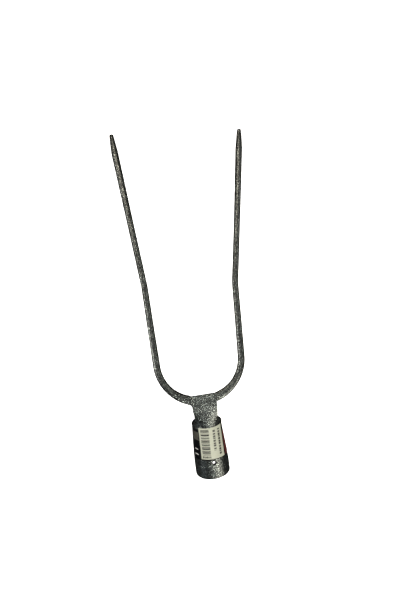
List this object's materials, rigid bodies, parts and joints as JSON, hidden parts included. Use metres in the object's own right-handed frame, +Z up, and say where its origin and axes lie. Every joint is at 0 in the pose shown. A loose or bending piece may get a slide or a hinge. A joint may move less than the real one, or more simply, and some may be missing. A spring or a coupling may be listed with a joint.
{
  "type": "two-tine fork head",
  "caption": "Hay fork head without its handle: a rolled steel socket, a flattened neck and a pair of long round tines in a U, in hammered grey paint, with paper labels on the socket.",
  "frame": {"origin": "centre of the socket's mouth, where the handle goes in", "axes": "+Y towards the tips, +Z up with the head lying label side up on the ground, +X to the right; the ground is 17.3 mm below the origin"},
  "size_m": [0.1347, 0.3548, 0.0421],
  "materials": {
    "socket": "hammered grey enamel, glossy",
    "left_tine": "hammered grey enamel, glossy",
    "right_tine": "hammered grey enamel, glossy",
    "welds": "the same enamel over the rippled beads",
    "wrap_label": "printed film, black with a red field",
    "price_label": null
  },
  "bodies": {
    "root": {"socket": "socket", "left_tine": "left_tine", "right_tine": "right_tine", "weld_left_front": "welds", "weld_left_back": "welds", "weld_right_front": "welds", "weld_right_back": "welds", "wrap_label": "wrap_label", "price_label": "price_label"}
  },
  "joints": []
}
